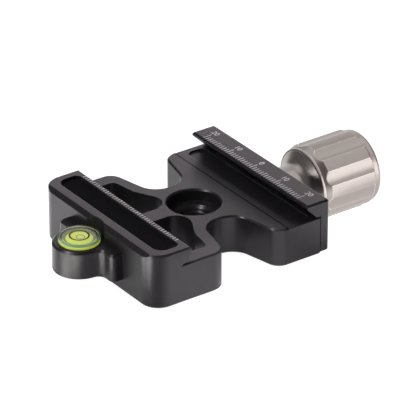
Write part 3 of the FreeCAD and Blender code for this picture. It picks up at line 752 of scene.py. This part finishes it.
def add_level_liquid():
    """Dyed liquid as a bowl: its bright floor and its wall show through the case."""
    outer = (LIQUID_HIGH.x - LIQUID_LOW.x) / 2 - LIQUID_CLEARANCE
    rim = LIQUID_HIGH.z - BOWL_RIM_DEPTH
    inner = LEVEL_FLOOR_RADIUS
    floor = CASE_HIGH.z - LEVEL_FLOOR_DEPTH
    profile = [(NEAR_AXIS, LIQUID_LOW.z), (outer, LIQUID_LOW.z), (outer, rim), (outer - BOWL_RIM_WIDTH, rim),
               (inner, floor), (NEAR_AXIS, floor)]
    liquid = add_turned_level_piece("level_dyed_liquid", profile, FLUID, sharp=30)
    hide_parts("level_liquid")
    wall = steps_from((outer, rim), BOWL_WALL_TOP) + steps_from((inner, floor), BOWL_WALL_FOOT)
    add_turned_level_piece("level_bowl_wall", wall, BOWL)
    foot = steps_from((inner, floor), FLOOR_EDGE)
    # Painted refraction: a green ring at the foot of the bowl's floor
    add_turned_level_piece("level_floor_edge", foot, EDGE_REFRACTION_GREEN)
    add_level_sleeve("level_lower_sleeve", outer + SLEEVE_GAP, LIQUID_LOW.z, rim - LOWER_SLEEVE_TOP, BOWL)


def add_level_rim():
    """Painted refraction: sleeves inside the case's edge, green outside and pale yellow within, stand for the
    liquid seen bent through the edge.
    """
    radius = (CASE_HIGH.x - CASE_LOW.x) / 2 - RIM_REFRACTION_IN
    high = CASE_HIGH.z - RIM_REFRACTION_HIGH
    low = CASE_HIGH.z - RIM_REFRACTION_LOW
    add_level_sleeve("level_rim_outside", radius, low, high, EDGE_REFRACTION_GREEN)
    add_level_sleeve("level_rim_inside", radius - RIM_REFRACTION_GAP, low, high, RIM_REFRACTION_YELLOW)


def add_level_bubble():
    """Lens of air that glows with painted light, with a painted dark ring of shade just inside its edge."""
    middle = (BUBBLE_LOW + BUBBLE_HIGH) / 2
    radius = (BUBBLE_HIGH.x - BUBBLE_LOW.x) / 2
    half = BUBBLE_THICKNESS / 2
    lens_steps = 14
    lens = []
    for step in range(lens_steps + 1):
        angle = math.pi * step / lens_steps
        lens.append((max(NEAR_AXIS, radius * math.sin(angle)), BUBBLE_HIGH.z - half + half * math.cos(angle)))
    points, faces = lathe_z(lens, middle.x, middle.y, steps=48)
    bubble = add_piece("level_air_bubble", points, faces, AIR, "base", sharp=60)
    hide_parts("level_bubble")
    edge = BUBBLE_EDGE_SHARE * radius
    edge_steps = 48
    circle = []
    for step in range(edge_steps + 1):
        angle = 2 * math.pi * step / edge_steps
        circle.append(Vector((middle.x + edge * math.cos(angle), middle.y + edge * math.sin(angle),
                              BUBBLE_HIGH.z - BUBBLE_EDGE_DEPTH)))
    points, faces = tube_along(circle, BUBBLE_EDGE_TUBE)
    add_piece("level_bubble_shade_ring", points, faces, BUBBLE_SHADE_RING, "base", sharp=60)


def add_level_ring():
    """Black target ring printed on the case's top."""
    inner = RING_RADIUS - RING_WIDTH / 2
    outer = RING_RADIUS + RING_WIDTH / 2
    low = CASE_HIGH.z - RING_SINK
    high = CASE_HIGH.z + RING_RISE
    band = [(inner, low), (inner, high), (outer, high), (outer, low)]
    add_turned_level_piece("level_target_ring", band, RING_INK, sharp=30)


def add_level():
    add_level_case()
    add_level_liquid()
    add_level_rim()
    add_level_bubble()
    add_level_ring()


def dress_cad_nodes():
    """Give the CAD nodes that stay in view their finishes."""
    finishes = {
        "clamp_body": BLACK, "moving_jaw": BLACK, "slot_strip": RUBBER, "stud_set_screw": STEEL,
        "guide_pin_left": STEEL, "guide_pin_right": STEEL, "thrust_washer": NYLON, "stop_washer": STEEL,
        "stop_screw": STEEL, "level_base": PLUG,
    }
    for name, material in finishes.items():
        mesh = nodes[name].data
        mesh.materials.clear()
        mesh.materials.append(material)


# Stage, lights and camera

FLOOR_HEIGHT = -5.25
FLOOR_REACH = 3000.0
WHITE = (1.0, 1.0, 1.0)
DARK_PIECES = "dark pieces"
KNOB_ONLY = "knob only"
EVERYTHING = "everything"

# Name, turn and rise of its direction, distance, width, height, brightness, colour and what it lights
SOFTBOXES = [
    ("back_softbox", 55, 11, 1100, 800, 280, 7.2, (1.0, 0.89, 0.94), DARK_PIECES),
    ("knob_back_softbox", 55, 14, 1100, 900, 520, 0.8, WHITE, KNOB_ONLY),
    ("knob_top_softbox", -15, 52, 1000, 1100, 700, 0.85, WHITE, KNOB_ONLY),
    ("knob_left_softbox", 194, 21, 1000, 340, 250, 5.5, WHITE, KNOB_ONLY),
    ("back_fill", 55, 42, 1000, 900, 600, 0.5, WHITE, EVERYTHING),
    ("top_softbox", 110, 72, 900, 700, 700, 0.8, WHITE, EVERYTHING),
    ("left_softbox", 183, 38, 1000, 300, 500, 8.0, WHITE, DARK_PIECES),
    ("corner_softbox", 172, 52, 1000, 200, 200, 30.0, WHITE, DARK_PIECES),
    ("side_strip", 140, 2, 900, 700, 110, 4.2, (0.98, 0.95, 1.06), EVERYTHING),
    ("front_softbox", -52, 12, 1000, 420, 480, 2.6, WHITE, EVERYTHING),
]
# Name, place on the floor, radius, brightness and colour
FLOOR_SPOTS = [
    ("back_floor_spot", -52, 50, 44, 4.2, WHITE),
    ("front_floor_spot", -6, -46, 32, 5.4, WHITE),
    ("jaw_floor_spot", 44, -48, 20, 6.0, WHITE),
    ("left_floor_spot", -63, -25, 13, 60.0, (0.96, 1.0, 0.92)),
    ("ear_floor_spot", -65, -4, 17, 32.0, (0.94, 1.0, 0.88)),
]


def add_stage():
    """White floor that glows, so that it shows plain white behind the clamp."""
    mesh = bpy.data.meshes.new("floor")
    corners = [(-1, -1), (1, -1), (1, 1), (-1, 1)]
    points = [Vector((x * FLOOR_REACH, y * FLOOR_REACH, FLOOR_HEIGHT)) * MM for x, y in corners]
    mesh.from_pydata(points, [], [(0, 1, 2, 3)])
    floor = bpy.data.objects.new("floor", mesh)
    bpy.context.scene.collection.objects.link(floor)
    material, tree, shader = new_material("floor_white")
    speck = object_noise(tree, (40, 40, 40), 2.0)
    tone = mottle(tree, speck, (0.40, 0.40, 0.40), (0.42, 0.42, 0.42))
    tree.links.new(tone, shader.inputs["Base Color"])
    shader.inputs["Roughness"].default_value = 0.16
    shader.inputs["Emission Color"].default_value = (1.0, 1.0, 1.0, 1.0)
    shader.inputs["Emission Strength"].default_value = 0.97
    mesh.materials.append(material)


def towards(turn, rise):
    """Direction with the given turn from +X and rise above the floor, in degrees."""
    turn = math.radians(turn)
    rise = math.radians(rise)
    return Vector((math.cos(turn) * math.cos(rise), math.sin(turn) * math.cos(rise), math.sin(rise)))


def link_lamp(name, light, place, target):
    lamp = bpy.data.objects.new(name, light)
    lamp.location = place * MM
    lamp.rotation_euler = (target - place).to_track_quat("-Z", "Y").to_euler()
    bpy.context.scene.collection.objects.link(lamp)
    return lamp


def light_only(lamp, pieces):
    """Let a lamp light only the given pieces, as a flag in front of a real lamp does."""
    lit = bpy.data.collections.new(lamp.name + "_lit")
    for piece in pieces:
        lit.objects.link(piece)
    lamp.light_linking.receiver_collection = lit


def add_softbox(name, direction, distance, width, height, brightness, colour):
    """Soft light in the given direction from the clamp, facing it; brightness is that of its face."""
    light = bpy.data.lights.new(name, "AREA")
    light.shape = "RECTANGLE"
    light.size = width * MM
    light.size_y = height * MM
    light.energy = brightness * math.pi * light.size * light.size_y
    light.color = colour
    return link_lamp(name, light, direction * distance, Vector((0.0, 0.0, 0.0)))


def add_floor_spot(name, x, y, radius, brightness, colour):
    """Spot from straight above that brightens a round patch of the floor."""
    rise = 900.0
    light = bpy.data.lights.new(name, "SPOT")
    light.spot_size = 2 * math.atan(radius / rise)
    light.spot_blend = 1.0
    light.shadow_soft_size = 4.0 * MM
    light.energy = brightness * 4 * math.pi ** 2 * (rise * MM) ** 2
    light.color = colour
    link_lamp(name, light, Vector((x, y, FLOOR_HEIGHT + rise)), Vector((x, y, FLOOR_HEIGHT)))


def add_lights(knob):
    meshes = [item for item in bpy.context.scene.collection.all_objects if item.type == "MESH"]
    floor = bpy.data.objects["floor"]
    lit_pieces = {KNOB_ONLY: [knob], DARK_PIECES: [item for item in meshes if item not in (knob, floor)]}
    world = bpy.data.worlds.new("studio")
    world.use_nodes = True
    backdrop = world.node_tree.nodes["Background"]
    backdrop.inputs["Color"].default_value = (0.98, 0.98, 1.0, 1.0)
    backdrop.inputs["Strength"].default_value = 0.16
    bpy.context.scene.world = world
    for name, turn, rise, distance, width, height, brightness, colour, lit in SOFTBOXES:
        lamp = add_softbox(name, towards(turn, rise), distance, width, height, brightness, colour)
        if lit != EVERYTHING:
            light_only(lamp, lit_pieces[lit])
    for name, x, y, radius, brightness, colour in FLOOR_SPOTS:
        add_floor_spot(name, x, y, radius, brightness, colour)


# The camera's place: turned about Z, raised above the floor, and shifted along its own right and up
CAMERA_TURN = math.radians(-35.467)
CAMERA_RISE = math.radians(28.61)
CAMERA_DISTANCE = 1005.36
CAMERA_RIGHT = 3.523
CAMERA_UP = 7.729
FOCAL_PIXELS = 4000.0
FRAME_PIXELS = 416
SENSOR_WIDTH = 36.0


def add_camera():
    right = Vector((math.cos(CAMERA_TURN), math.sin(CAMERA_TURN), 0.0))
    back = Vector((math.sin(CAMERA_TURN) * math.cos(CAMERA_RISE),
                   -math.cos(CAMERA_TURN) * math.cos(CAMERA_RISE), math.sin(CAMERA_RISE)))
    up = back.cross(right)
    data = bpy.data.cameras.new("camera")
    data.sensor_width = SENSOR_WIDTH
    data.lens = SENSOR_WIDTH * FOCAL_PIXELS / FRAME_PIXELS
    data.clip_start = 10 * MM
    data.clip_end = 20000 * MM
    camera = bpy.data.objects.new("camera", data)
    place = (right * CAMERA_RIGHT + up * CAMERA_UP + back * CAMERA_DISTANCE) * MM
    turn = Matrix((right, up, back)).transposed().to_4x4()
    camera.matrix_world = Matrix.Translation(place) @ turn
    bpy.context.scene.collection.objects.link(camera)
    bpy.context.scene.camera = camera
    bpy.context.scene.view_settings.view_transform = "Standard"


dress_cad_nodes()
add_scales()
add_threads()
add_spring("return_coil_left", "return_spring_left")
add_spring("return_coil_right", "return_spring_right")
turned_knob = add_knob()
add_level()
add_stage()
add_lights(turned_knob)
add_camera()
